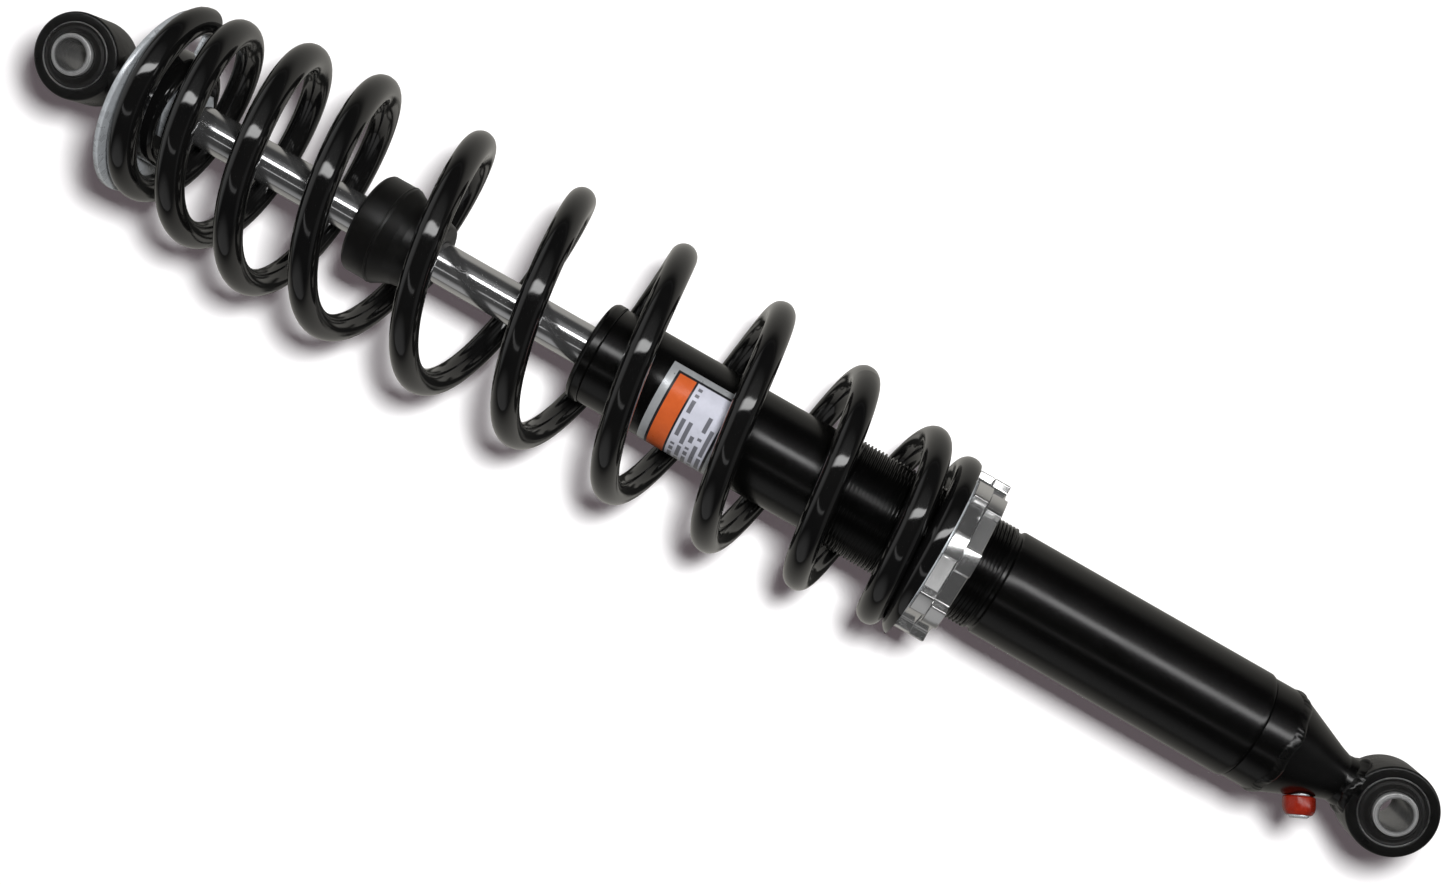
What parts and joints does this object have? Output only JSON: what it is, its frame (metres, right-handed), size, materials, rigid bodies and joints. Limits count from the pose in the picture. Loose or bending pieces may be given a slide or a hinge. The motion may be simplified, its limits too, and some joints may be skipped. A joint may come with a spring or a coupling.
{
  "type": "coil-over shock absorber",
  "caption": "Gas-charged coil-over rear shock: barrel coil spring over a damper, rubber-bushed eye at each end, ring nuts for preload, sliding rod with bump stop.",
  "frame": {"origin": "centre of the lower eye's bolt bore", "axes": "+Z along the shock towards the upper eye, +Y along both eye bores, +X towards the open side of the spring retainer's slot"},
  "size_m": [0.1003, 0.0998, 0.5934],
  "materials": {
    "black_steel": "satin black paint over forged steel",
    "bush_shell": "bare steel edge",
    "bush_rubber": "matt moulded rubber",
    "steel_sleeve": "machined steel",
    "zinc_plate": "bright zinc plating",
    "black_gloss": "gloss black",
    "chrome_rod": "ground and hard-chromed",
    "bump_rubber": "satin moulded elastomer",
    "black_satin": "satin black powder coat",
    "seal_rubber": "matt",
    "machined_aluminium": "turned, fine tool marks",
    "bearing_bronze": "turned bronze",
    "label_film": "printed film, silver edge, orange band, white panel",
    "red_cap": "moulded red plastic",
    "inner_steel": "ground steel",
    "glide_band": "filled PTFE",
    "spring_gloss": "gloss black powder coat"
  },
  "bodies": {
    "lower_sleeve": {"lower_bush_sleeve": "steel_sleeve"},
    "damper_body": {"lower_eye": "black_steel", "lower_bush_shell": "bush_shell", "lower_bush_rubber": "bush_rubber", "end_cap": "black_satin", "end_cap_o_ring": "seal_rubber", "gas_valve_body": "zinc_plate", "damper_tube": "black_satin", "label_band": "label_film", "dust_cap": "black_satin", "wiper_seal": "seal_rubber", "seal_head": "machined_aluminium", "rod_bushing": "bearing_bronze", "rod_seal": "seal_rubber", "seal_head_o_ring": "seal_rubber"},
    "rod_assembly": {"upper_eye": "black_steel", "upper_bush_shell": "bush_shell", "upper_bush_rubber": "bush_rubber", "spring_retainer": "zinc_plate", "bump_cup": "black_gloss", "rod_jam_nut": "zinc_plate", "damper_rod": "chrome_rod", "top_out_bumper": "seal_rubber", "top_out_washer": "inner_steel", "rebound_shims": "inner_steel", "piston": "machined_aluminium", "piston_band": "glide_band", "compression_shims": "inner_steel", "piston_nut": "inner_steel"},
    "upper_sleeve": {"upper_bush_sleeve": "steel_sleeve"},
    "bump_stop_body": {"bump_stop": "bump_rubber"},
    "gas_piston": {"floating_piston": "machined_aluminium", "floating_piston_o_ring": "seal_rubber", "floating_piston_band": "glide_band"},
    "spring_seat": {"spring_thrust_washer": "zinc_plate", "coil_spring": "spring_gloss"},
    "ring_nuts": {"adjuster_nut": "machined_aluminium", "lock_nut": "machined_aluminium"},
    "cap_body": {"valve_cap": "red_cap", "valve_cap_disc": "zinc_plate"},
    "core_body": {"valve_core": "bearing_bronze"}
  },
  "joints": [
    {"name": "lower_eye_pivot", "type": "hinge", "parent": "lower_sleeve", "child": "damper_body", "pos_m": [0, 0, 0], "axis": [0, 1, 0], "range_deg": [-15, 15], "stiffness_Nm_per_rad": 30},
    {"name": "rod_slide", "type": "slide", "parent": "damper_body", "child": "rod_assembly", "axis": [0, 0, -1], "range_m": [0, 0.125], "stiffness_N_per_m": 23000, "springref_m": -0.012, "deforming": ["coil_spring"]},
    {"name": "upper_eye_twist", "type": "hinge", "parent": "rod_assembly", "child": "upper_sleeve", "pos_m": [0, 0, 0.56], "axis": [0, 1, 0], "range_deg": [-15, 15], "stiffness_Nm_per_rad": 30},
    {"name": "bump_stop_slide", "type": "slide", "parent": "damper_body", "child": "bump_stop_body", "axis": [0, 0, -1], "range_m": [0, 0.0626]},
    {"name": "gas_piston_slide", "type": "slide", "parent": "damper_body", "child": "gas_piston", "axis": [0, 0, -1], "range_m": [0, 0.0278]},
    {"name": "preload_slide", "type": "slide", "parent": "damper_body", "child": "spring_seat", "axis": [0, 0, 1], "range_m": [-0.006, 0.012]},
    {"name": "adjuster_spin", "type": "hinge", "parent": "spring_seat", "child": "ring_nuts", "pos_m": [0, 0, 0.18125], "axis": [0, 0, 1], "range_deg": [-1441, 2881]},
    {"name": "valve_cap_pull", "type": "slide", "parent": "damper_body", "child": "cap_body", "axis": [-0.8615, -0.3051, -0.4058], "range_m": [0, 0.012]},
    {"name": "valve_core_press", "type": "slide", "parent": "damper_body", "child": "core_body", "axis": [0.8615, 0.3051, 0.4058], "range_m": [0, 0.001], "stiffness_N_per_m": 900, "springref_m": -0.0005}
  ],
  "couplings": [
    {"joint": "bump_stop_slide", "follows": "rod_slide", "ratio": 0.5},
    {"joint": "gas_piston_slide", "follows": "rod_slide", "ratio": 0.22145},
    {"joint": "adjuster_spin", "follows": "preload_slide", "rad_per_m": 4188.8}
  ]
}
